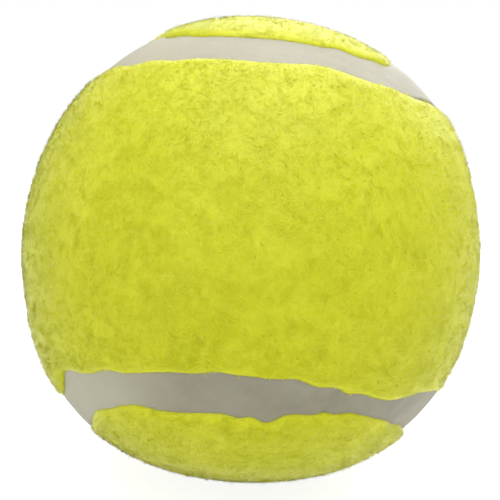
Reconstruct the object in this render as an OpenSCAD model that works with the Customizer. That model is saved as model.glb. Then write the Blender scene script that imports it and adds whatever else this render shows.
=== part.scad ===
// Tennis ball: a hollow rubber core of two moulded halves, two dumbbell panels of felt cloth
// and the continuous rubber seam between them. The origin is the centre of the ball.

/* [Ball] */
// Diameter over the felt
ball_d = 66; // [63:0.5:70]

/* [Rubber core] */
// Wall of the two moulded rubber halves
core_wall = 4; // [3:0.25:6]
// Bevel inside the rim of each half
rim_bevel = 0.5; // [0.3:0.1:1]
// Thickness of the cement between the rims
cement_t = 0.2; // [0.1:0.05:0.4]
// Height of the cement bead squeezed out inside the core
bead_rise = 0.3; // [0.1:0.05:0.6]
// Thickness of the rubber solution that coats the whole core
coat_t = 0.15; // [0.1:0.05:0.3]

/* [Felt] */
// Thickness of the rubber solution on the back of the cloth
backing_t = 0.25; // [0.15:0.05:0.4]
// Thickness of the woven ground of the cloth
ground_t = 0.6; // [0.4:0.1:1]
// Height of the raised pile on the ground
pile_t = 2.6; // [2:0.1:3.4]
// Radius of the roll where the pile turns down to the seam
edge_r = 1.6; // [1.2:0.1:2.2]

/* [Seam] */
// Width of the seam at its surface
seam_w = 5.2; // [3.5:0.1:6.5]
// Depth of the seam below the felt
seam_depth = 0.5; // [0.3:0.05:1.1]
// Angle from the middle of a panel to the middle of each of its two lobes
lobe_angle = 98.75; // [96:0.25:104]
// Turn of the seam about X, as the ball lies
seam_turn_x = 69; // [-180:1:180]
// Turn of the seam about Y, as the ball lies
seam_turn_y = -34.4; // [-90:0.1:90]
// Turn of the seam about Z, as the ball lies
seam_turn_z = 25.2; // [-180:0.1:180]

/* [Hidden] */
$fn = 96;

// How far a cutting solid runs past what it cuts
overrun = 2;
// Stations along each quarter of the seam
quarter_stations = 24;
// Facets of the roll at the edge of the pile
roll_facets = 4;
// Sides of the plain pyramids that tell the two panels apart inside the channel
lobe_sides = 12;
// How far the roll's circle stands past the felt, as a share of its radius, so that they cross
roll_share = 0.03;
// Angle on the roll's circle at which it has left the felt
roll_end = 80;

// Radii from the felt inwards
ball_r = ball_d / 2;
seam_r = ball_r - seam_depth;
ground_r = ball_r - pile_t;
backing_r = ground_r - ground_t;
coat_r = backing_r - backing_t;
core_r = coat_r - coat_t;
cavity_r = core_r - core_wall;
reach_r = ball_r + overrun;

// The bead covers the bevels of both rims and stands into the cavity
bead_r = rim_bevel + cement_t / 2 + bead_rise;

// The seam's centre line is four circle arcs, one round each lobe. Neighbours touch without
// a kink on the great circle through the middles of their lobes, which sets their radius.
lobe_radius = acos(sin(lobe_angle) / sqrt(2));
half_arc = 180 - atan(1 / sin(lobe_angle - 90));

// Half the seam's width as an angle at the centre of the ball
seam_half = asin(seam_w / 2 / seam_r);

// The roll's circle passes through the corner where the pile meets the seam's surface
roll_centre_r = ball_r + roll_share * edge_r - edge_r;
roll_width = acos(
    (pow(roll_centre_r, 2) + pow(seam_r, 2) - pow(edge_r, 2)) / (2 * roll_centre_r * seam_r)
);
roll_start = asin((seam_r * cos(roll_width) - roll_centre_r) / edge_r);

felt_colour = [0.84, 0.87, 0.25];
ground_colour = [0.88, 0.88, 0.62];
backing_colour = [0.56, 0.55, 0.48];
seam_colour = [0.72, 0.69, 0.61];
core_colour = [0.22, 0.22, 0.22];
cement_colour = [0.42, 0.4, 0.36];

// Quarters of the seam are numbered in order along it: 0 and 2 go round the lobes of the
// front panel, 1 and 3 round those of the rear one
function is_front(quarter) = quarter % 2 == 0;
function heading(quarter) = -45 - 90 * quarter;
function from_pole(quarter) = is_front(quarter) ? lobe_angle : 180 - lobe_angle;

// Unit vector at a compass heading and an angle down from the pole
function unit_vector(head, down) = [sin(down) * cos(head), sin(down) * sin(head), cos(down)];

// Middle of a quarter's lobe, the way from there to the lobe's tip, and the way across it
function lobe_axis(quarter) = unit_vector(heading(quarter), from_pole(quarter));
function tip_axis(quarter) =
    unit_vector(heading(quarter), from_pole(quarter) + (is_front(quarter) ? 90 : -90));
function cross_axis(quarter) = unit_vector(heading(quarter) + 90, 90);

// Direction of a point beside the seam: turn runs along the quarter's arc, and offset is the
// angle from the centre line towards the front panel
function seam_direction(quarter, turn, offset) =
    let (opening = is_front(quarter) ? lobe_radius - offset : lobe_radius + offset)
    cos(opening) * lobe_axis(quarter)
    + sin(opening) * (cos(turn) * tip_axis(quarter) + sin(turn) * cross_axis(quarter));

// One closed loop along the seam. Each point of the section is an offset and a radius.
module seam_loop(section) {
    corners = len(section);
    stations = 4 * quarter_stations;
    points = [
        for (quarter = [0:3], step = [0:quarter_stations - 1], corner = section)
            corner[1] * seam_direction(
                quarter, half_arc * (1 - 2 * step / quarter_stations), corner[0]
            )
    ];
    faces = [
        for (station = [0:stations - 1], corner = [0:corners - 1])
            let (
                here = station * corners,
                ahead = (station + 1) % stations * corners,
                beside = (corner + 1) % corners
            )
            each [
                [here + corner, here + beside, ahead + beside],
                [here + corner, ahead + beside, ahead + corner]
            ]
    ];
    polyhedron(points, faces, convexity = 10);
}

// Section of the channel between the panels, with walls that point at the ball's centre
channel_section = [
    [-seam_half, core_r],
    [seam_half, core_r],
    [seam_half, reach_r],
    [-seam_half, reach_r]
];

// Point on the roll, where angle is zero at the circle's side and 90 at its top
function roll_point(angle) =
    let (
        out = roll_centre_r + edge_r * sin(angle),
        across = edge_r * cos(angle)
    )
    [seam_half + roll_width - atan(across / out), norm([out, across])];

roll_points = [
    for (step = [0:roll_facets])
        roll_point(roll_start + (roll_end - roll_start) * step / roll_facets)
];
rolled_side = concat(
    [[seam_half, core_r]],
    roll_points,
    [[roll_points[roll_facets][0], reach_r]]
);

// Section of the channel where the pile rolls down to it on both sides
rolled_section = concat(
    rolled_side,
    [for (step = [len(rolled_side) - 1:-1:0]) [-rolled_side[step][0], rolled_side[step][1]]]
);

// Turns the seam's own frame to the way the ball lies
module as_it_lies() {
    rotate([seam_turn_x, seam_turn_y, seam_turn_z]) children();
}

module hollow_ball(inner_r, outer_r) {
    difference() {
        sphere(r = outer_r);
        sphere(r = inner_r);
    }
}

// Plain pyramids over the two lobes of the front panel, from the ball's centre
module lobe_pyramids() {
    for (turn = [heading(0), heading(2)])
        rotate([0, 0, turn])
            rotate([0, lobe_angle, 0])
                cylinder(
                    h = reach_r, r1 = 0, r2 = reach_r * tan(lobe_radius), $fn = lobe_sides
                );
}

// All that lies on the front panel's side. Its own edge stays inside the channel.
module front_side() {
    lobe_pyramids();
    difference() {
        translate([-reach_r, -reach_r, 0]) cube([2 * reach_r, 2 * reach_r, reach_r]);
        rotate([180, 0, 0]) lobe_pyramids();
    }
}

// One layer of the front panel, as wide as the channel cut by the section leaves it. The
// poles of its spheres point along the two lobes.
module panel_layer(inner_r, outer_r, section) {
    intersection() {
        difference() {
            rotate([90, 0, heading(0) + 90]) hollow_ball(inner_r, outer_r);
            seam_loop(section);
        }
        front_side();
    }
}

// The rear panel is the front one turned half round about X in the seam's frame
module rear_panel() {
    as_it_lies() rotate([180, 0, 0]) children();
}

module backing_layer() {
    color(backing_colour) panel_layer(coat_r, backing_r, channel_section);
}

module ground_layer() {
    color(ground_colour) panel_layer(backing_r, ground_r, channel_section);
}

module pile_layer() {
    color(felt_colour) panel_layer(ground_r, ball_r, rolled_section);
}

module felt_front_backing() {
    as_it_lies() backing_layer();
}

module felt_rear_backing() {
    rear_panel() backing_layer();
}

module felt_front_ground() {
    as_it_lies() ground_layer();
}

module felt_rear_ground() {
    rear_panel() ground_layer();
}

module felt_front_pile() {
    as_it_lies() pile_layer();
}

module felt_rear_pile() {
    rear_panel() pile_layer();
}

module seam_rubber() {
    color(seam_colour)
        as_it_lies()
            intersection() {
                hollow_ball(coat_r, seam_r);
                seam_loop(channel_section);
            }
}

// Section of one half of the core, with its bevelled rim on the joint
module core_half_section() {
    bevel_run = rim_bevel + overrun;
    bevel_x = cavity_r + rim_bevel;
    rim_y = cement_t / 2;
    difference() {
        intersection() {
            circle(r = core_r);
            translate([0, rim_y]) square(core_r);
        }
        circle(r = cavity_r);
        polygon([
            [bevel_x, rim_y],
            [bevel_x - bevel_run, rim_y + bevel_run],
            [bevel_x - bevel_run, rim_y]
        ]);
    }
}

module core_half_upper() {
    color(core_colour) rotate_extrude() core_half_section();
}

module core_half_lower() {
    mirror([0, 0, 1]) core_half_upper();
}

// The cement between the rims, with the bead that fills their bevels
module core_joint_cement() {
    color(cement_colour)
        rotate_extrude()
            difference() {
                union() {
                    intersection() {
                        circle(r = core_r);
                        translate([cavity_r, -cement_t / 2]) square([core_wall, cement_t]);
                    }
                    translate([cavity_r, 0]) circle(r = bead_r);
                }
                core_half_section();
                mirror([0, 1]) core_half_section();
            }
}

module core_solution_coat() {
    color(backing_colour) hollow_ball(core_r, coat_r);
}

core_half_lower();
core_half_upper();
core_joint_cement();
core_solution_coat();
felt_front_backing();
felt_rear_backing();
felt_front_ground();
felt_rear_ground();
felt_front_pile();
felt_rear_pile();
seam_rubber();
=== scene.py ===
"""Looks of a tennis ball: two felt covers with their raised nap, and the rubber seam between them."""
import math

import bmesh
import bpy
import numpy as np
from mathutils import Euler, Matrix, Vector, noise


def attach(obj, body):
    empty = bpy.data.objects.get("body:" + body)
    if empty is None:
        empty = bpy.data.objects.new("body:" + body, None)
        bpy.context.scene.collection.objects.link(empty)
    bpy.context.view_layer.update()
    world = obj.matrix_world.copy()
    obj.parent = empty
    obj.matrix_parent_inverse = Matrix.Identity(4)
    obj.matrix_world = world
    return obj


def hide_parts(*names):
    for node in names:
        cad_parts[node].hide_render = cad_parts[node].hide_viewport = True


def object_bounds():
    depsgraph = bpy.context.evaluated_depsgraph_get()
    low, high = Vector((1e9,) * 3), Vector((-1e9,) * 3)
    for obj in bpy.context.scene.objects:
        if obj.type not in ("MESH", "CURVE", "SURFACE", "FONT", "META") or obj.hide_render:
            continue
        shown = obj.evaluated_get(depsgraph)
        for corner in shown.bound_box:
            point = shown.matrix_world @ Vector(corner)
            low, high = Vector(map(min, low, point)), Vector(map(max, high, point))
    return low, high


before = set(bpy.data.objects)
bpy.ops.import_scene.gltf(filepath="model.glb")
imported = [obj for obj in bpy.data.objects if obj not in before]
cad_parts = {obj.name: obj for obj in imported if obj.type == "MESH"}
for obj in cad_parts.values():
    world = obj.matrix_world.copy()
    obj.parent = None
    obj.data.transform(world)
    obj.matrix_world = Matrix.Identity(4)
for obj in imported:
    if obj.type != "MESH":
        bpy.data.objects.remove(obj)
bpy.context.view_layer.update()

MM = 0.001
SEED = 17
# Vector noise is shifted by the clock unless it has a seed
noise.seed_set(SEED)

# Sizes of the ball, as in the frame
BALL_R = 33 * MM
SEAM_DEPTH = 0.5 * MM
SEAM_R = BALL_R - SEAM_DEPTH
SEAM_WIDTH = 5.2 * MM
PILE_T = 2.6 * MM
GROUND_R = BALL_R - PILE_T
GROUND_T = 0.6 * MM
BACKING_T = 0.25 * MM
COAT_R = GROUND_R - GROUND_T - BACKING_T
LOBE_ANGLE = math.radians(98.75)
SEAM_TURN = Euler([math.radians(turn) for turn in (69, -34.4, 25.2)], "XYZ").to_matrix()
SEAM_HALF = math.asin(SEAM_WIDTH / 2 / SEAM_R)

# Four circle arcs make the seam's centre line, one round each lobe
LOBE_RADIUS = math.acos(math.sin(LOBE_ANGLE) / math.sqrt(2))
HALF_ARC = math.pi - math.atan(1 / math.sin(LOBE_ANGLE - math.pi / 2))
QUARTERS = 4


# Course of the seam

def unit_vector(heading, down):
    """The way at a heading round the poles and an angle down from the upper one."""
    return Vector((
        math.sin(down) * math.cos(heading),
        math.sin(down) * math.sin(heading),
        math.cos(down),
    ))


def is_front(quarter):
    """Quarters 0 and 2 go round the front panel's lobes, 1 and 3 round those of the rear one."""
    return quarter % 2 == 0


def lobe_frame(quarter):
    """The middle of a quarter's lobe, the way to its tip and the way across it, as the ball lies."""
    heading = -math.pi / 4 - quarter * math.pi / 2
    down = LOBE_ANGLE if is_front(quarter) else math.pi - LOBE_ANGLE
    to_tip = math.pi / 2 if is_front(quarter) else -math.pi / 2
    middle = SEAM_TURN @ unit_vector(heading, down)
    tip = SEAM_TURN @ unit_vector(heading, down + to_tip)
    across = SEAM_TURN @ unit_vector(heading + math.pi / 2, math.pi / 2)
    return middle, tip, across


LOBES = [lobe_frame(quarter) for quarter in range(QUARTERS)]


def seam_direction(quarter, turn, offset):
    """The way to a point beside the seam, with offset counted towards the front panel."""
    middle, tip, across = LOBES[quarter]
    opening = LOBE_RADIUS - offset if is_front(quarter) else LOBE_RADIUS + offset
    round_lobe = math.cos(turn) * tip + math.sin(turn) * across
    return math.cos(opening) * middle + math.sin(opening) * round_lobe


def seam_places(ways):
    """For unit vectors, their offsets from the seam, places along it in quarters, and quarters."""
    offsets = np.empty((QUARTERS, len(ways)))
    turns = np.empty((QUARTERS, len(ways)))
    for quarter, (middle, tip, across) in enumerate(LOBES):
        opening = np.arccos(np.clip(ways @ np.array(middle), -1, 1))
        offsets[quarter] = LOBE_RADIUS - opening if is_front(quarter) else opening - LOBE_RADIUS
        turns[quarter] = np.arctan2(ways @ np.array(across), ways @ np.array(tip))
    # A point belongs to the arc that its turn falls on and that lies nearest to it
    away = np.abs(offsets) + np.where(np.abs(turns) > HALF_ARC, math.pi, 0)
    nearest = np.argmin(away, axis=0)
    rows = np.arange(len(ways))
    turn = turns[nearest, rows]
    along = nearest + (HALF_ARC - turn) / (2 * HALF_ARC)
    return offsets[nearest, rows], along, nearest


# Uneven edges of the felt beside the seam

# How far the felt's edges stand from the seam's centre line
EDGE_HALF = math.radians(4.3)
# How far they wander, how often in a quarter, and the row of noise that each one follows
EDGE_WAVE = math.radians(0.56)
EDGE_WAVES = 15
FRONT_EDGE_ROW = 3.7
REAR_EDGE_ROW = 9.1
# Stretches where the felt's edges differ: middle and half length in quarters, then how much
# further the front and the rear edge stand from the seam's centre line, in degrees
STRETCHES = (
    (1.185, 0.115, 2.3, 0.0),
    (1.300, 0.045, 0.0, -0.6),
    (1.330, 0.065, -1.5, 0.0),
    (1.385, 0.115, -2.1, -1.7),
    (1.420, 0.025, -0.8, 0.5),
    (1.467, 0.035, -1.0, 0.0),
    (1.485, 0.030, 0.0, -0.5),
    (1.525, 0.030, 0.0, 2.0),
    (1.525, 0.040, -0.5, 0.0),
    (1.565, 0.030, 0.0, 1.0),
    (1.580, 0.060, 0.2, 0.6),
    (1.594, 0.030, 0.6, 0.0),
    (1.645, 0.060, 0.0, 0.7),
    (1.735, 0.045, 0.0, -1.4),
    (1.752, 0.035, 0.8, 0.0),
    (1.770, 0.030, 0.0, -0.6),
    (1.840, 0.045, 1.3, 0.0),
    (1.862, 0.040, 0.6, 0.0),
    (1.940, 0.090, -3.6, 0.0),
    (1.955, 0.125, 0.0, 3.8),
    (2.030, 0.070, -1.5, 0.0),
    (1.600, 0.450, -0.7, 0.7),
    (3.120, 0.110, 0.0, 3.4),
    (3.190, 0.070, 0.0, 4.2),
    (3.230, 0.040, 0.9, 0.0),
    (3.270, 0.055, 0.0, 1.6),
    (3.310, 0.035, 0.8, 0.0),
    (3.450, 0.400, -0.2, 1.3),
    (3.505, 0.085, -2.0, 0.0),
    (3.550, 0.030, 0.0, 0.8),
    (3.625, 0.040, 0.0, 1.0),
    (3.655, 0.050, 0.7, 0.0),
    (3.720, 0.075, 0.0, 5.0),
    (3.790, 0.100, 0.0, 3.0),
    (0.420, 0.090, 0.6, -0.9),
    (0.800, 0.120, -0.8, 0.3),
    (2.300, 0.100, -0.5, -0.8),
    (2.620, 0.080, 0.9, 0.4),
)


def wave_along(along, row):
    """A smooth wander along the closed seam, from -1 to 1."""
    # The noise is read round a ring, so that it closes where the seam does
    angle = along / QUARTERS * math.tau
    ring = EDGE_WAVES / math.tau * QUARTERS
    return np.array([
        noise.noise(Vector((math.cos(a) * ring, math.sin(a) * ring, row))) for a in angle
    ])


def eased_rise(along, middle, half_length, top):
    """A rise along the seam, eased from 0 at the ends of a stretch to the top in its middle."""
    gap = np.abs((along - middle + QUARTERS / 2) % QUARTERS - QUARTERS / 2)
    share = np.clip(1 - gap / half_length, 0, 1)
    return top * share * share * (3 - 2 * share)


def felt_edge(along, front):
    """How far the felt's edge stands from the seam's centre line, as an angle."""
    row = FRONT_EDGE_ROW if front else REAR_EDGE_ROW
    edge = EDGE_HALF + EDGE_WAVE * wave_along(along, row)
    for middle, half_length, front_gain, rear_gain in STRETCHES:
        gain = math.radians(front_gain if front else rear_gain)
        edge = edge + eased_rise(along, middle, half_length, gain)
    return edge


# Places where the seam, the front felt and the rear felt beside it stand fuller than elsewhere,
# or lie lower: middle and half length in quarters, and a height
SEAM_SWELLS = (
    (1.155, 0.080, 0.20 * MM),
    (1.437, 0.012, -0.25 * MM),
    (1.950, 0.110, 0.60 * MM),
    (3.115, 0.040, -0.15 * MM),
    (3.725, 0.110, 0.45 * MM),
)
FRONT_SWELLS = (
    (1.115, 0.060, -0.50 * MM),
    (1.915, 0.110, 0.65 * MM),
    (3.130, 0.070, -0.35 * MM),
    (3.760, 0.090, 0.40 * MM),
)
REAR_SWELLS = (
    (1.160, 0.090, 0.40 * MM),
    (1.970, 0.110, 0.45 * MM),
    (3.105, 0.085, -0.90 * MM),
    (3.250, 0.060, 0.20 * MM),
    (3.650, 0.060, 0.15 * MM),
    (3.785, 0.070, -0.80 * MM),
)
# How far from the seam a swell of the felt reaches
SWELL_REACH = math.radians(22)
# Stretches where the rubber of the seam is paler, and how much. At 1 and above it is fully pale.
SEAM_TONES = ((1.820, 0.220, 1.30), (3.370, 0.550, 0.60), (3.240, 0.140, 0.45))


def rise_along(along, places):
    """All the rises of a list of places, added up."""
    height = np.zeros(len(along))
    for middle, half_length, top in places:
        height += eased_rise(along, middle, half_length, top)
    return height


# Thickness of the felt: swollen beside the seam and flatter in the middle of a panel

# Angles from the seam, and how far each panel's felt stands past the ball's radius there
SWELL_AT = np.radians([0, 3, 7, 11, 16, 23, 31, 40, 90])
FRONT_SWELL = np.array([-0.3, -0.2, -0.15, -0.3, -0.45, -0.7, -0.9, -0.95, -0.95]) * MM
REAR_SWELL = np.array([-0.2, -0.1, 0.0, 0.0, -0.1, -0.1, -0.45, -0.7, -0.75]) * MM
# The felt rolls down over this width to its foot in the seam
ROLL_WIDTH = 1.5 * MM
FELT_FOOT_R = SEAM_R - 0.04 * MM
# Clumps of fibres and broader lumps
CLUMP_SIZE = 1.1 * MM
CLUMP_RISE = 0.025 * MM
LUMP_SIZE = 3.4 * MM
LUMP_RISE = 0.045 * MM


def noise_at(ways, size, seed):
    """Noise from -1 to 1 on the ball, with lumps of the given size."""
    scaled = ways * (BALL_R / size) + seed
    return np.array([noise.noise(Vector(point)) for point in scaled])


def felt_radius(ways, offsets, along, inward, front):
    """Radius of the felt's surface, where inward is the distance from its edge."""
    swell = np.interp(np.abs(offsets), SWELL_AT, FRONT_SWELL if front else REAR_SWELL)
    near = np.clip(1 - np.abs(offsets) / SWELL_REACH, 0, 1)
    swell += rise_along(along, FRONT_SWELLS if front else REAR_SWELLS) * np.sqrt(near)
    relief = LUMP_RISE * noise_at(ways, LUMP_SIZE, SEED)
    relief += CLUMP_RISE * noise_at(ways, CLUMP_SIZE, 2 * SEED)
    top = BALL_R + swell + relief
    share = np.clip(inward / ROLL_WIDTH, 0, 1)
    roll = np.sqrt(1 - (1 - share) ** 2)
    return FELT_FOOT_R + (top - FELT_FOOT_R) * roll


# Meshes

def new_piece(name, mesh, material):
    """A smooth piece of the ball, which has one body."""
    piece = bpy.data.objects.new(name, mesh)
    bpy.context.scene.collection.objects.link(piece)
    mesh.materials.clear()
    mesh.materials.append(material)
    mesh.polygons.foreach_set("use_smooth", np.full(len(mesh.polygons), True))
    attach(piece, "root")
    return piece


def mesh_of(bm, name):
    """The bmesh as a mesh. The bmesh is freed."""
    mesh = bpy.data.meshes.new(name)
    bm.to_mesh(mesh)
    bm.free()
    return mesh


def mesh_from(name, points, faces):
    """A mesh of triangles, from its points and the numbers of each face's corners."""
    mesh = bpy.data.meshes.new(name)
    mesh.vertices.add(len(points))
    mesh.vertices.foreach_set("co", points.astype(np.float32).ravel())
    mesh.loops.add(faces.size)
    mesh.loops.foreach_set("vertex_index", faces.astype(np.int32).ravel())
    mesh.polygons.add(len(faces))
    mesh.polygons.foreach_set("loop_start", np.arange(0, faces.size, 3, dtype=np.int32))
    mesh.update(calc_edges=True)
    return mesh


def icosphere_faces(subdivisions):
    """Unit vectors of an icosphere's corners, and its faces."""
    bm = bmesh.new()
    bmesh.ops.create_icosphere(bm, subdivisions=subdivisions, radius=1)
    mesh = mesh_of(bm, "ball_grid")
    ways = np.empty(len(mesh.vertices) * 3)
    mesh.vertices.foreach_get("co", ways)
    faces = np.empty(len(mesh.loops), np.int32)
    mesh.loops.foreach_get("vertex_index", faces)
    bpy.data.meshes.remove(mesh)
    ways = ways.reshape(-1, 3)
    return ways / np.linalg.norm(ways, axis=1)[:, None], faces.reshape(-1, 3)


def panel_patch(subdivisions, front, edge_of):
    """The part of a unit icosphere on one panel's side of an edge, with its border on that edge."""
    ways, faces = icosphere_faces(subdivisions)
    side = 1 if front else -1
    offsets, along, nearest = seam_places(ways)
    edge = edge_of(along, front)
    inside = side * offsets - edge
    # Where a side of a face crosses the edge, its nearer corner moves onto the edge
    pairs = np.concatenate([faces[:, [0, 1]], faces[:, [1, 2]], faces[:, [2, 0]]])
    crossing = inside[pairs[:, 0]] * inside[pairs[:, 1]] < 0
    pairs = pairs[crossing]
    first_nearer = np.abs(inside[pairs[:, 0]]) < np.abs(inside[pairs[:, 1]])
    moved = np.unique(np.where(first_nearer, pairs[:, 0], pairs[:, 1]))
    middles = np.array([lobe[0] for lobe in LOBES])[nearest[moved]]
    toward_front = np.where(nearest[moved] % 2 == 0, 1, -1)
    opening = (LOBE_RADIUS - toward_front * side * edge[moved])[:, None]
    points = ways[moved]
    round_lobe = points - np.sum(points * middles, axis=1)[:, None] * middles
    round_lobe /= np.linalg.norm(round_lobe, axis=1)[:, None]
    ways[moved] = np.cos(opening) * middles + np.sin(opening) * round_lobe
    inside[moved] = 0
    offsets[moved] = side * edge[moved]
    # Faces within the edge stay, and the corners that they use are numbered again
    kept = faces[(inside[faces] >= 0).all(axis=1) & (inside[faces] > 0).any(axis=1)]
    used, packed = np.unique(kept, return_inverse=True)
    return ways[used], packed.reshape(-1, 3), offsets[used], along[used], inside[used]


# Subdivisions of the icosphere under the felt's face, and of the one under its plain back
FACE_GRID = 8
BACK_GRID = 6
# The angle across the ball that fills the square map, and the size of the back's own small map
MAP_SPAN = math.radians(300)
BACK_MAP_SIZE = 0.13


def channel_edge(along, front):
    """The wall of the channel, which is as far from the centre line in both panels."""
    return np.full(len(along), SEAM_HALF)


def panel_map(ways, front):
    """Places on a square map, spread out from the middle of the panel."""
    middle = SEAM_TURN @ Vector((0, 0, 1 if front else -1))
    right = SEAM_TURN @ Vector((1, 0, 0))
    up = SEAM_TURN @ Vector((0, 1, 0))
    down = np.arccos(np.clip(ways @ np.array(middle), -1, 1))
    heading = np.arctan2(ways @ np.array(up), ways @ np.array(right))
    reach = down / MAP_SPAN
    return np.stack([0.5 + reach * np.cos(heading), 0.5 + reach * np.sin(heading)], axis=1)


def felt_cover(name, front, material):
    """A closed felt panel: its uneven face, a plain back on the woven ground, and a wall.

    Returns the piece, with the points and faces of its uneven face.
    """
    ways, faces, offsets, along, inside = panel_patch(FACE_GRID, front, felt_edge)
    radius = felt_radius(ways, offsets, along, inside * BALL_R, front)
    face_points = ways * radius[:, None]
    back_ways, back_faces = panel_patch(BACK_GRID, front, channel_edge)[:2]
    points = np.concatenate([face_points, back_ways * GROUND_R])
    flipped = back_faces[:, ::-1] + len(ways)
    mesh = mesh_from(name, points, np.concatenate([faces, flipped]))
    bm = bmesh.new()
    bm.from_mesh(mesh)
    border = [edge for edge in bm.edges if edge.is_boundary]
    bmesh.ops.bridge_loops(bm, edges=border)
    bmesh.ops.triangulate(bm, faces=[face for face in bm.faces if len(face.verts) > 3])
    layer = bm.loops.layers.uv.new("OFBake")
    spots = panel_map(np.concatenate([ways, back_ways]), front)
    spots[len(ways):] *= BACK_MAP_SIZE
    for face in bm.faces:
        for loop in face.loops:
            loop[layer].uv = spots[loop.vert.index]
    bm.to_mesh(mesh)
    bm.free()
    return new_piece(name, mesh, material), face_points, faces


# The rubber runs on under the edges of both felts in thin wings
WING = math.radians(10.5)
WING_T = 0.6 * MM
# Columns across the rubber, and steps along each quarter
BAND_COLUMNS = 38
BAND_STEPS = 240
MERGE_DISTANCE = 0.01 * MM
# Points nearer than this to the rubber's surface belong to it
SURFACE_T = 0.1 * MM
# How fast a swell fades at the felt's edge, and the share of it that is left there
SWELL_FADE = math.radians(0.8)
SWELL_AT_EDGE = 0.9
# The wings sink away from the felt: how deep, how fast, and how late after the felt's edge
SINK_DEPTH = 0.35 * MM
SINK_FADE = math.radians(1.0)
SINK_LATE = 0.3
# Slow waves and a finer grain in the rubber's surface: size, height and seed
WAVE_SIZE = 4.5 * MM
WAVE_RISE = 0.07 * MM
WAVE_SEED = 5
GRAIN_SIZE = 1.2 * MM
GRAIN_RISE = 0.02 * MM
GRAIN_SEED = 8


def band_ring():
    """The bare ring of the rubber: its section run along the four arcs, one closed loop."""
    surface = [
        (WING - 2 * WING * column / BAND_COLUMNS, SEAM_R) for column in range(BAND_COLUMNS + 1)
    ]
    wing_r = SEAM_R - WING_T
    section = surface + [
        (-WING, wing_r), (-SEAM_HALF, wing_r), (-SEAM_HALF, COAT_R),
        (SEAM_HALF, COAT_R), (SEAM_HALF, wing_r), (WING, wing_r),
    ]
    mesh = bpy.data.meshes.new("strip")
    bm = bmesh.new()
    for quarter in range(QUARTERS):
        way_round = -1 if is_front(quarter) else 1
        # Spun one side of the section at a time, so that the faces come in the same order each run
        for side in range(len(section)):
            strip = bmesh.new()
            ends = [
                strip.verts.new(radius * seam_direction(quarter, HALF_ARC, offset))
                for offset, radius in (section[side - 1], section[side])
            ]
            bmesh.ops.spin(
                strip, geom=ends + [strip.edges.new(ends)], cent=(0, 0, 0),
                axis=LOBES[quarter][0], angle=way_round * 2 * HALF_ARC, steps=BAND_STEPS,
                use_merge=False,
            )
            strip.to_mesh(mesh)
            strip.free()
            bm.from_mesh(mesh)
    bpy.data.meshes.remove(mesh)
    bmesh.ops.remove_doubles(bm, verts=bm.verts[:], dist=MERGE_DISTANCE)
    bmesh.ops.recalc_face_normals(bm, faces=bm.faces[:])
    return bm


def seam_band(name, material):
    """The rubber between the panels, with its swells, its uneven surface and its paler places."""
    bm = band_ring()
    shown = [vert for vert in bm.verts if vert.co.length > SEAM_R - SURFACE_T]
    ways = np.array([vert.co.normalized() for vert in shown])
    offsets, along = seam_places(ways)[:2]
    edge = np.where(offsets > 0, felt_edge(along, True), felt_edge(along, False))
    bare = np.clip((edge - np.abs(offsets)) / SWELL_FADE + SWELL_AT_EDGE, 0, 1)
    covered = np.clip((np.abs(offsets) - edge) / SINK_FADE - SINK_LATE, 0, 1)
    radius = SEAM_R + rise_along(along, SEAM_SWELLS) * bare - SINK_DEPTH * covered
    waves = WAVE_RISE * noise_at(ways, WAVE_SIZE, WAVE_SEED)
    grain = GRAIN_RISE * noise_at(ways, GRAIN_SIZE, GRAIN_SEED)
    radius += waves + grain
    for vert, way, reach in zip(shown, ways, radius):
        vert.co = Vector(way) * reach
    mesh = mesh_of(bm, name)
    ways = np.array([vert.co.normalized() for vert in mesh.vertices])
    tone = np.clip(rise_along(seam_places(ways)[1], SEAM_TONES), 0, 1)
    paleness = mesh.attributes.new("paleness", "FLOAT", "POINT")
    paleness.data.foreach_set("value", tone.astype(np.float32))
    return new_piece(name, mesh, material)


# Nap: short fibres that stand out of the felt and bend over

STRAND_SIDES = 3
STRAND_JOINTS = 2
# Shortest and longest strand, narrowest and widest half width, and depth of the roots, in mm
STRAND_LENGTHS = (0.7, 1.2)
STRAND_WIDTHS = (0.020, 0.034)
ROOT_DEPTH = 0.08
# Share of a strand's width that it has at its root, at its joint and at its tip
STRAND_TAPER = (0.8, 1.0, 0.0)
# A strand is a flat ribbon: its thickness as a share of its width
STRAND_FLATNESS = 0.35
# How steeply each joint of a strand rises from the felt, and how much that varies, in degrees
NAP_RISE = (24, -8)
NAP_RISE_SPREAD = 9
# A few stray strands rise more steeply
STRAY_SHARE = 0.02
STRAY_RISE = math.radians(22)
# How much a strand turns to one side at its joint
SWING_SPREAD = 0.8
# The way that strands lie changes slowly over the felt, and each strand strays a little from it
LAY_SIZE = 2.2 * MM
LAY_SHIFT = Vector((4, 4, 4))
LAY_SPREAD = 0.28
# How strongly the strands are combed level round the ball
COMBED = 0.45
# Strands this near to the seam are shorter and lean away from it
EDGE_REACH = 1.0 * MM
EDGE_SHORTENING = 0.55
EDGE_LEAN = 0.5
# A small tilt, so that an upright strand still has a side
SIDE_TILT = 0.01
# Light scatters through the pile, so a strand is shaded mostly as the felt that carries it
NAP_ROUNDNESS = 0.12
# Room of a strand in its own cell of the map, along it and round it, and the margin
CELL_LENGTH = 0.8
CELL_ROUND = 0.6
CELL_MARGIN = 0.1
# A face that spans more than this share of a turn goes on past the end of the turn
WRAP_SPAN = 0.6


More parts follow.
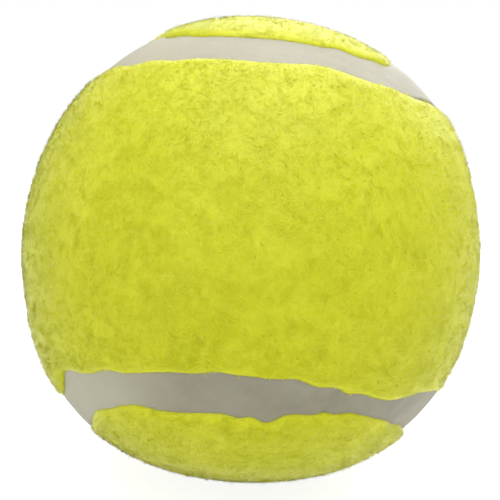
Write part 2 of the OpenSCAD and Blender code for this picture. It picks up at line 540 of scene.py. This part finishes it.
def strand_shape():
    """One straight strand. Its corners' heights count the joints, and it ends in a point."""
    bm = bmesh.new()
    bmesh.ops.create_circle(bm, cap_ends=True, segments=STRAND_SIDES, radius=1)
    edges = bm.edges[:]
    for joint in range(STRAND_JOINTS):
        made = bmesh.ops.extrude_edge_only(bm, edges=edges)["geom"]
        corners = [item for item in made if isinstance(item, bmesh.types.BMVert)]
        edges = [item for item in made if isinstance(item, bmesh.types.BMEdge)]
        bmesh.ops.translate(bm, verts=corners, vec=(0, 0, 1))
    bmesh.ops.pointmerge(bm, verts=corners, merge_co=(0, 0, STRAND_JOINTS))
    bmesh.ops.triangulate(bm, faces=bm.faces[:])
    bmesh.ops.recalc_face_normals(bm, faces=bm.faces[:])
    mesh = mesh_of(bm, "strand")
    corners = np.array([corner.co for corner in mesh.vertices])
    faces = np.array([face.vertices for face in mesh.polygons])
    bpy.data.meshes.remove(mesh)
    return corners, faces


def unit_rows(rows):
    return rows / np.linalg.norm(rows, axis=1)[:, None]


def nap_roots(points, faces, count, rng):
    """Even random places on the felt's face."""
    corners = points[faces]
    span = np.cross(corners[:, 1] - corners[:, 0], corners[:, 2] - corners[:, 0])
    area = np.linalg.norm(span, axis=1)
    picked = rng.choice(len(faces), count, p=area / area.sum())
    first, second = rng.random((2, count))
    over = first + second > 1
    first = np.where(over, 1 - first, first)[:, None]
    second = np.where(over, 1 - second, second)[:, None]
    chosen = corners[picked]
    return chosen[:, 0] * (1 - first - second) + chosen[:, 1] * first + chosen[:, 2] * second


def strand_map(shape, shape_faces, count):
    """Places on the map, where each strand has a cell of its own."""
    local = np.empty((len(shape_faces), 3, 2))
    for number, face in enumerate(shape_faces):
        local[number, :, 0] = shape[face, 2] / STRAND_JOINTS * CELL_LENGTH + CELL_MARGIN
        round_strand = np.arctan2(shape[face, 1], shape[face, 0]) / math.tau + 0.5
        if np.ptp(round_strand) > WRAP_SPAN:
            low = round_strand < WRAP_SPAN / 2
            round_strand = np.where(low, round_strand + 1, round_strand)
        local[number, :, 1] = round_strand * CELL_ROUND + CELL_MARGIN
    cells = math.ceil(math.sqrt(count))
    cell = np.stack([np.arange(count) % cells, np.arange(count) // cells], axis=1)
    return (cell[:, None, None, :] + local[None]) / cells


def nap(name, roots, front, material, rng):
    """One piece of nap, made of copies of a strand that lean, bend and turn each its own way."""
    shape, shape_faces = strand_shape()
    count = len(roots)
    outward = unit_rows(roots)
    lay = np.array([
        noise.noise_vector(Vector(way) * (BALL_R / LAY_SIZE) + LAY_SHIFT) for way in outward
    ])
    level_way = unit_rows(np.cross((0, 0, 1), outward))
    ahead = lay + COMBED * level_way + rng.normal(0, LAY_SPREAD, (count, 3))
    length = rng.uniform(*STRAND_LENGTHS, count) * MM

    # Beside the seam
    offsets, along, nearest = seam_places(outward)
    side_sign = 1 if front else -1
    inward = (side_sign * offsets - felt_edge(along, front)) * BALL_R
    near_edge = np.clip(1 - inward / EDGE_REACH, 0, 1)
    length *= 1 - EDGE_SHORTENING * near_edge
    toward_middle = np.array([lobe[0] for lobe in LOBES])[nearest]
    toward_middle *= np.where((nearest % 2 == 0) == front, 1, -1)[:, None]
    ahead += toward_middle * (EDGE_LEAN * near_edge)[:, None]
    ahead -= np.sum(ahead * outward, axis=1)[:, None] * outward
    ahead = unit_rows(ahead)
    beside = np.cross(outward, ahead)

    # The middle line of each strand, with the ways to its side and its upper face
    width = rng.uniform(*STRAND_WIDTHS, count) * MM
    stray = rng.random(count) < STRAY_SHARE
    rise = np.radians([rng.normal(mean, NAP_RISE_SPREAD, count) for mean in NAP_RISE])
    rise += np.where(stray, STRAY_RISE, 0)
    swing = rng.normal(0, SWING_SPREAD, count)
    places = np.empty((STRAND_JOINTS + 1, count, 3))
    places[0] = roots - outward * ROOT_DEPTH * MM
    frames = []
    for joint in range(STRAND_JOINTS):
        turn = (swing * joint)[:, None]
        level = np.cos(turn) * ahead + np.sin(turn) * beside
        lift = rise[joint][:, None]
        run = np.cos(lift) * level + np.sin(lift) * outward
        places[joint + 1] = places[joint] + run * (length / STRAND_JOINTS)[:, None]
        side = unit_rows(np.cross(run, outward + SIDE_TILT * beside))
        frames.append((side, np.cross(run, side)))
    frames.append(frames[-1])

    # A copy of the strand's shape round each middle line
    points = np.empty((count, len(shape), 3))
    normals = np.empty((count, len(shape), 3))
    for number, (x, y, z) in enumerate(shape):
        joint = int(round(z))
        side, up = frames[joint]
        spread = (width * STRAND_TAPER[joint])[:, None]
        points[:, number] = places[joint] + spread * (x * side + STRAND_FLATNESS * y * up)
        normals[:, number] = unit_rows(outward + NAP_ROUNDNESS * (x * side + y * up))
    faces = shape_faces[None] + (np.arange(count) * len(shape))[:, None, None]
    mesh = mesh_from(name, points.reshape(-1, 3), faces.reshape(-1, 3))
    layer = mesh.uv_layers.new(name="OFBake")
    spots = strand_map(shape, shape_faces, count)
    layer.data.foreach_set("uv", spots.reshape(-1).astype(np.float32))
    piece = new_piece(name, mesh, material)
    mesh.normals_split_custom_set_from_vertices(normals.reshape(-1, 3))
    return piece


# Materials

def new_material(name):
    """An empty material and its nodes."""
    material = bpy.data.materials.new(name)
    material.use_nodes = True
    material.node_tree.nodes.clear()
    return material, material.node_tree


def node(tree, kind, inputs=None, **settings):
    """A node with its settings, its values and its links from other nodes' outputs."""
    made = tree.nodes.new(kind)
    for key, value in settings.items():
        setattr(made, key, value)
    for key, value in (inputs or {}).items():
        if isinstance(value, bpy.types.NodeSocket):
            tree.links.new(value, made.inputs[key])
        else:
            made.inputs[key].default_value = value
    return made


def linear(red, green, blue):
    """A colour written as in the picture, from 0 to 255."""
    shares = [value / 255 for value in (red, green, blue)]
    return [
        share / 12.92 if share <= 0.04045 else ((share + 0.055) / 1.055) ** 2.4
        for share in shares
    ] + [1.0]


def new_group(name, inputs, outputs):
    """A shader group with named inputs and outputs, and its first and last node."""
    group = bpy.data.node_groups.new(name, "ShaderNodeTree")
    for label, kind, value in inputs:
        socket = group.interface.new_socket(label, in_out="INPUT", socket_type=kind)
        if value is not None:
            socket.default_value = value
    for label, kind in outputs:
        group.interface.new_socket(label, in_out="OUTPUT", socket_type=kind)
    start = group.nodes.new("NodeGroupInput")
    end = group.nodes.new("NodeGroupOutput")
    return group, start, end


def mottle_group():
    """Two sizes of patches that shift a colour towards a paler and a deeper one."""
    group, start, end = new_group(
        "mottle",
        [
            ("Vector", "NodeSocketVector", None),
            ("Middle", "NodeSocketColor", (0.5, 0.5, 0.5, 1)),
            ("Pale", "NodeSocketColor", (0.6, 0.6, 0.6, 1)),
            ("Deep", "NodeSocketColor", (0.4, 0.4, 0.4, 1)),
            ("Patch Scale", "NodeSocketFloat", 90.0),
            ("Fleck Scale", "NodeSocketFloat", 900.0),
            ("Fleck Strength", "NodeSocketFloat", 0.5),
        ],
        [("Color", "NodeSocketColor"), ("Fleck", "NodeSocketFloat")],
    )
    patches = node(
        group, "ShaderNodeTexNoise",
        {"Vector": start.outputs["Vector"], "Scale": start.outputs["Patch Scale"],
         "Detail": 2.0, "Roughness": 0.5},
    )
    flecks = node(
        group, "ShaderNodeTexNoise",
        {"Vector": start.outputs["Vector"], "Scale": start.outputs["Fleck Scale"],
         "Detail": 3.0, "Roughness": 0.6},
    )
    paler = node(
        group, "ShaderNodeMapRange",
        {"Value": patches.outputs["Fac"], "From Min": 0.5, "From Max": 0.75},
    )
    deeper = node(
        group, "ShaderNodeMapRange",
        {"Value": patches.outputs["Fac"], "From Min": 0.5, "From Max": 0.28},
    )
    fleck = node(
        group, "ShaderNodeMapRange",
        {"Value": flecks.outputs["Fac"], "From Min": 0.3, "From Max": 0.7},
    )
    strength = node(
        group, "ShaderNodeMath",
        {0: fleck.outputs["Result"], 1: start.outputs["Fleck Strength"]},
        operation="MULTIPLY",
    )
    pale_mix = node(
        group, "ShaderNodeMix",
        {0: paler.outputs["Result"], 6: start.outputs["Middle"], 7: start.outputs["Pale"]},
        data_type="RGBA",
    )
    deep_mix = node(
        group, "ShaderNodeMix",
        {0: deeper.outputs["Result"], 6: pale_mix.outputs[2], 7: start.outputs["Deep"]},
        data_type="RGBA",
    )
    fleck_mix = node(
        group, "ShaderNodeMix",
        {0: strength.outputs[0], 6: deep_mix.outputs[2], 7: start.outputs["Pale"]},
        data_type="RGBA",
    )
    group.links.new(fleck_mix.outputs[2], end.inputs["Color"])
    group.links.new(fleck.outputs["Result"], end.inputs["Fleck"])
    return group


MOTTLE = mottle_group()


# A fibre shows where the noise is this near to its middle
FIBRE_LINE = 0.035


def fibre_group():
    """Curly fibres on a surface: thin lines where a slow noise passes its middle."""
    group, start, end = new_group(
        "fibres",
        [("Vector", "NodeSocketVector", None), ("Scale", "NodeSocketFloat", 900.0)],
        [("Fibre", "NodeSocketFloat")],
    )
    lines = []
    # Three sets of fibres, each one from its own part of the noise
    for offset in (0.0, 31.7, 77.3):
        moved = node(
            group, "ShaderNodeVectorMath",
            {0: start.outputs["Vector"], 1: (offset, offset, offset)},
            operation="ADD",
        )
        slow = node(
            group, "ShaderNodeTexNoise",
            {"Vector": moved.outputs[0], "Scale": start.outputs["Scale"],
             "Detail": 1.5, "Roughness": 0.5, "Distortion": 0.6},
        )
        away = node(
            group, "ShaderNodeMath", {0: slow.outputs["Fac"], 1: 0.5}, operation="SUBTRACT",
        )
        away = node(group, "ShaderNodeMath", {0: away.outputs[0]}, operation="ABSOLUTE")
        line = node(
            group, "ShaderNodeMapRange",
            {"Value": away.outputs[0], "From Min": 0.0, "From Max": FIBRE_LINE,
             "To Min": 1.0, "To Max": 0.0},
        )
        lines.append(line.outputs["Result"])
    fibre = lines[0]
    for line in lines[1:]:
        fibre = node(group, "ShaderNodeMath", {0: fibre, 1: line}, operation="MAXIMUM").outputs[0]
    group.links.new(fibre, end.inputs["Fibre"])
    return group


FIBRES = fibre_group()


# A wave texture at a scale of one has a band each time that it goes on by this length, in metres
WAVE_BAND = 0.314


def weave_group():
    """Threads that cross over and under: two sets of bands, of which the higher one shows."""
    group, start, end = new_group(
        "weave",
        [("Vector", "NodeSocketVector", None), ("Thread Width", "NodeSocketFloat", 0.0005)],
        [("Thread", "NodeSocketFloat")],
    )
    scale = node(
        group, "ShaderNodeMath", {0: WAVE_BAND, 1: start.outputs["Thread Width"]},
        operation="DIVIDE",
    )
    bands = []
    for direction in ("X", "Z"):
        wave = node(
            group, "ShaderNodeTexWave",
            {"Vector": start.outputs["Vector"], "Scale": scale.outputs[0], "Distortion": 1.5,
             "Detail": 1.0, "Detail Scale": 0.3},
            wave_type="BANDS", bands_direction=direction,
        )
        bands.append(wave.outputs["Fac"])
    higher = node(group, "ShaderNodeMath", {0: bands[0], 1: bands[1]}, operation="MAXIMUM")
    group.links.new(higher.outputs[0], end.inputs["Thread"])
    return group


WEAVE = weave_group()


def mottled_surface(
    name, middle, pale, deep, patch_mm, fleck_mm, fleck_strength, bump_mm, roughness,
):
    """A material with mottled colour and a finely uneven surface, as a table of its parts."""
    material, tree = new_material(name)
    place = node(tree, "ShaderNodeTexCoord")
    colour = node(
        tree, "ShaderNodeGroup",
        {
            "Vector": place.outputs["Object"],
            "Middle": linear(*middle),
            "Pale": linear(*pale),
            "Deep": linear(*deep),
            "Patch Scale": 1 / (patch_mm * MM),
            "Fleck Scale": 1 / (fleck_mm * MM),
            "Fleck Strength": fleck_strength,
        },
        node_tree=MOTTLE,
    )
    bump = node(
        tree, "ShaderNodeBump",
        {"Height": colour.outputs["Fleck"], "Strength": 1.0, "Distance": bump_mm * MM},
    )
    surface = node(
        tree, "ShaderNodeBsdfPrincipled",
        {"Base Color": colour.outputs["Color"], "Normal": bump.outputs["Normal"],
         "Roughness": roughness},
    )
    node(tree, "ShaderNodeOutputMaterial", {"Surface": surface.outputs["BSDF"]})
    return {
        "material": material, "tree": tree, "place": place, "colour": colour, "bump": bump,
        "surface": surface,
    }


# The fibres on the felt's face: their size, colour, strength of colour and share of the height
FIBRE_SIZE = 1.0 * MM
FIBRE_COLOUR = (222, 223, 66)
FIBRE_TINT = 0.4
FIBRE_RISE = 0.6


def felt_face_material():
    """The face of the felt, with paler curly fibres matted into it."""
    parts = mottled_surface(
        "felt_face", middle=(203, 206, 30), pale=(214, 215, 48), deep=(192, 197, 22),
        patch_mm=7.0, fleck_mm=1.1, fleck_strength=0.4, bump_mm=0.03, roughness=0.4,
    )
    tree = parts["tree"]
    surface = parts["surface"]
    fibres = node(
        tree, "ShaderNodeGroup",
        {"Vector": parts["place"].outputs["Object"], "Scale": 1 / FIBRE_SIZE},
        node_tree=FIBRES,
    )
    strength = node(
        tree, "ShaderNodeMath", {0: fibres.outputs["Fibre"], 1: FIBRE_TINT},
        operation="MULTIPLY",
    )
    colour = node(
        tree, "ShaderNodeMix",
        {0: strength.outputs[0], 6: parts["colour"].outputs["Color"],
         7: linear(*FIBRE_COLOUR)},
        data_type="RGBA",
    )
    tree.links.new(colour.outputs[2], surface.inputs["Base Color"])
    height = node(
        tree, "ShaderNodeMath",
        {0: fibres.outputs["Fibre"], 1: FIBRE_RISE, 2: parts["colour"].outputs["Fleck"]},
        operation="MULTIPLY_ADD",
    )
    tree.links.new(height.outputs[0], parts["bump"].inputs["Height"])
    surface.inputs["Specular IOR Level"].default_value = 0.2
    # The pile is open, so light spreads sideways in it
    surface.inputs["Subsurface Weight"].default_value = 1.0
    surface.inputs["Subsurface Radius"].default_value = (1.0, 1.0, 0.5)
    surface.inputs["Subsurface Scale"].default_value = 0.8 * MM
    return parts["material"]


def felt_nap_material():
    """The raised nap, with hardly any shine, in colours set a little paler than the face's as painted
    light.
    """
    # The nap's colours are a little paler than the face's: painted light that makes up for the shade
    # on the strands' sides and in the gaps between them
    parts = mottled_surface(
        "felt_nap", middle=(210, 212, 36), pale=(218, 220, 52), deep=(202, 205, 28),
        patch_mm=9.0, fleck_mm=0.8, fleck_strength=0.35, bump_mm=0.03, roughness=0.6,
    )
    parts["surface"].inputs["Specular IOR Level"].default_value = 0.05
    return parts["material"]


# The rubber of the seam where it is fully pale
PALE_RUBBER = (170, 166, 144)


def seam_compound_material():
    """The grey-beige rubber of the seam, paler in places."""
    parts = mottled_surface(
        "seam_compound", middle=(138, 133, 114), pale=(150, 145, 128), deep=(128, 123, 105),
        patch_mm=5.0, fleck_mm=0.8, fleck_strength=0.3, bump_mm=0.02, roughness=0.5,
    )
    tree = parts["tree"]
    tone = node(tree, "ShaderNodeAttribute", attribute_name="paleness")
    colour = node(
        tree, "ShaderNodeMix",
        {0: tone.outputs["Fac"], 6: parts["colour"].outputs["Color"],
         7: linear(*PALE_RUBBER)},
        data_type="RGBA",
    )
    tree.links.new(colour.outputs[2], parts["surface"].inputs["Base Color"])
    return parts["material"]


# Width of a thread in the woven ground, and the painted shade between the threads, a darker copy of
# their colour
THREAD_WIDTH = 0.45 * MM
PAINTED_SHADE_BETWEEN_THREADS = (186, 186, 118)


def woven_ground_material():
    """The cloth's woven ground, with threads that cross over and under and painted shade between
    them.
    """
    parts = mottled_surface(
        "woven_ground", middle=(224, 224, 158), pale=(234, 234, 184), deep=(208, 208, 132),
        patch_mm=5.0, fleck_mm=0.4, fleck_strength=0.5, bump_mm=0.1, roughness=0.9,
    )
    tree = parts["tree"]
    threads = node(
        tree, "ShaderNodeGroup",
        {"Vector": parts["place"].outputs["Object"], "Thread Width": THREAD_WIDTH},
        node_tree=WEAVE,
    )
    # Between the threads the colour goes to a darker copy of theirs: painted shade in the gaps
    colour = node(
        tree, "ShaderNodeMix",
        {0: threads.outputs["Thread"], 6: linear(*PAINTED_SHADE_BETWEEN_THREADS),
         7: parts["colour"].outputs["Color"]},
        data_type="RGBA",
    )
    tree.links.new(colour.outputs[2], parts["surface"].inputs["Base Color"])
    tree.links.new(threads.outputs["Thread"], parts["bump"].inputs["Height"])
    return parts["material"]


felt_face = felt_face_material()
felt_nap = felt_nap_material()
seam_compound = seam_compound_material()
woven_ground = woven_ground_material()
core_rubber = mottled_surface(
    "core_rubber", middle=(62, 62, 62), pale=(84, 84, 84), deep=(46, 46, 46),
    patch_mm=6.0, fleck_mm=0.5, fleck_strength=0.25, bump_mm=0.02, roughness=0.75,
)["material"]
joint_cement = mottled_surface(
    "joint_cement", middle=(112, 106, 96), pale=(130, 124, 112), deep=(96, 90, 80),
    patch_mm=3.0, fleck_mm=0.4, fleck_strength=0.3, bump_mm=0.03, roughness=0.6,
)["material"]
rubber_solution = mottled_surface(
    "rubber_solution", middle=(146, 142, 124), pale=(162, 158, 140), deep=(128, 124, 106),
    patch_mm=4.0, fleck_mm=0.6, fleck_strength=0.3, bump_mm=0.02, roughness=0.5,
)["material"]


# Pieces

front_cover, front_points, front_faces = felt_cover("felt_front_cover", True, felt_face)
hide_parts("felt_front_pile")
rear_cover, rear_points, rear_faces = felt_cover("felt_rear_cover", False, felt_face)
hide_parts("felt_rear_pile")
band = seam_band("seam_band", seam_compound)
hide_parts("seam_rubber")

# Pieces of nap on each panel, and strands in each piece
NAP_PIECES = 3
NAP_STRANDS = 18800
rng = np.random.default_rng(SEED)
for front, points, faces in ((True, front_points, front_faces), (False, rear_points, rear_faces)):
    side_name = "front" if front else "rear"
    roots = nap_roots(points, faces, NAP_PIECES * NAP_STRANDS, rng)
    for number in range(NAP_PIECES):
        some = roots[number * NAP_STRANDS:(number + 1) * NAP_STRANDS]
        piece = nap(f"felt_{side_name}_nap_{number + 1}", some, front, felt_nap, rng)

NODE_MATERIALS = {
    "core_half_lower": core_rubber,
    "core_half_upper": core_rubber,
    "core_joint_cement": joint_cement,
    "core_solution_coat": rubber_solution,
    "felt_front_backing": rubber_solution,
    "felt_rear_backing": rubber_solution,
    "felt_front_ground": woven_ground,
    "felt_rear_ground": woven_ground,
}
for name, material in NODE_MATERIALS.items():
    cad_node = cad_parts[name]
    cad_node.data.materials.clear()
    cad_node.data.materials.append(material)


# Camera

# The picture's side and the ball's middle in it, in pixels
IMAGE_SIDE = 500
CENTRE_X = 250.8
CENTRE_Y = 251.5
SENSOR = 36.0
# The camera's focal length in pixels, its distance from the ball's middle, and its height
FOCAL_PIXELS = 667.5
CAMERA_AWAY = 3.0 * BALL_R
CAMERA_RISE = math.radians(10)
NEAREST_SEEN = 0.005
FURTHEST_SEEN = 20

camera_data = bpy.data.cameras.new("camera")
camera_data.sensor_width = SENSOR
camera_data.lens = FOCAL_PIXELS / IMAGE_SIDE * SENSOR
camera_data.shift_x = (IMAGE_SIDE / 2 - CENTRE_X) / IMAGE_SIDE
camera_data.shift_y = (CENTRE_Y - IMAGE_SIDE / 2) / IMAGE_SIDE
camera_data.clip_start = NEAREST_SEEN
camera_data.clip_end = FURTHEST_SEEN
camera = bpy.data.objects.new("camera", camera_data)
bpy.context.scene.collection.objects.link(camera)
back = Vector((0, -math.cos(CAMERA_RISE), math.sin(CAMERA_RISE)))
camera.location = back * CAMERA_AWAY
camera.rotation_mode = "QUATERNION"
camera.rotation_quaternion = (-back).to_track_quat("-Z", "Y")
bpy.context.scene.camera = camera


# Floor, background and light

FLOOR_HALF = 1.5
# The floor lights the ball as a pale matt one, and shows as a glowing one that keeps the shadow
FLOOR_COLOUR = (0.85, 0.85, 0.85, 1)
SHOWN_COLOUR = (0.4, 0.4, 0.4, 1)
FLOOR_GLOW = 0.88
# The world's light on the ball, and as the background that shows
WORLD_LIGHT = 0.31
WORLD_SHOWN = 1.0
WHITE = (1, 1, 1, 1)

floor_bm = bmesh.new()
bmesh.ops.create_grid(floor_bm, x_segments=1, y_segments=1, size=FLOOR_HALF)
bmesh.ops.translate(floor_bm, verts=floor_bm.verts[:], vec=(0, 0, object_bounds()[0].z))
floor_mesh = mesh_of(floor_bm, "floor")
floor = bpy.data.objects.new("floor", floor_mesh)
bpy.context.scene.collection.objects.link(floor)


def background_rays(tree):
    """One for the rays that show the background: straight, mirrored or seen through glass."""
    rays = node(tree, "ShaderNodeLightPath")
    shown = node(
        tree, "ShaderNodeMath",
        {0: rays.outputs["Is Camera Ray"], 1: rays.outputs["Is Glossy Ray"]},
        operation="MAXIMUM",
    )
    shown = node(
        tree, "ShaderNodeMath",
        {0: shown.outputs[0], 1: rays.outputs["Is Transmission Ray"]},
        operation="MAXIMUM",
    )
    return shown.outputs[0]


floor_material, tree = new_material("floor")
diffuse = node(tree, "ShaderNodeBsdfDiffuse", {"Color": FLOOR_COLOUR})
shaded = node(tree, "ShaderNodeBsdfDiffuse", {"Color": SHOWN_COLOUR})
glow = node(tree, "ShaderNodeEmission", {"Color": WHITE, "Strength": FLOOR_GLOW})
both = node(tree, "ShaderNodeAddShader", {0: shaded.outputs[0], 1: glow.outputs[0]})
pick = node(
    tree, "ShaderNodeMixShader",
    {0: background_rays(tree), 1: diffuse.outputs[0], 2: both.outputs[0]},
)
node(tree, "ShaderNodeOutputMaterial", {"Surface": pick.outputs[0]})
floor_mesh.materials.append(floor_material)

world = bpy.data.worlds.new("studio")
bpy.context.scene.world = world
world.use_nodes = True
tree = world.node_tree
tree.nodes.clear()
fill = node(tree, "ShaderNodeBackground", {"Color": WHITE, "Strength": WORLD_LIGHT})
shown = node(tree, "ShaderNodeBackground", {"Color": WHITE, "Strength": WORLD_SHOWN})
pick = node(
    tree, "ShaderNodeMixShader",
    {0: background_rays(tree), 1: fill.outputs[0], 2: shown.outputs[0]},
)
node(tree, "ShaderNodeOutputWorld", {"Surface": pick.outputs[0]})


def soft_light(name, place, width, power):
    """A round lamp that faces the ball."""
    data = bpy.data.lights.new(name, "AREA")
    data.shape = "DISK"
    data.size = width
    data.energy = power
    light = bpy.data.objects.new(name, data)
    bpy.context.scene.collection.objects.link(light)
    light.location = place
    light.rotation_mode = "QUATERNION"
    light.rotation_quaternion = (-Vector(place)).to_track_quat("-Z", "Y")


# Place, width in metres and power in watts
SOFT_LIGHTS = {
    "top_light": ((0.05, -0.20, 0.64), 0.8, 5.8),
    "back_light": ((0.20, 0.40, 0.42), 0.8, 3.0),
    "left_light": ((-0.50, -0.60, -0.05), 0.6, 1.3),
}
for name, (place, width, power) in SOFT_LIGHTS.items():
    soft_light(name, place, width, power)

bpy.context.scene.view_settings.view_transform = "Standard"
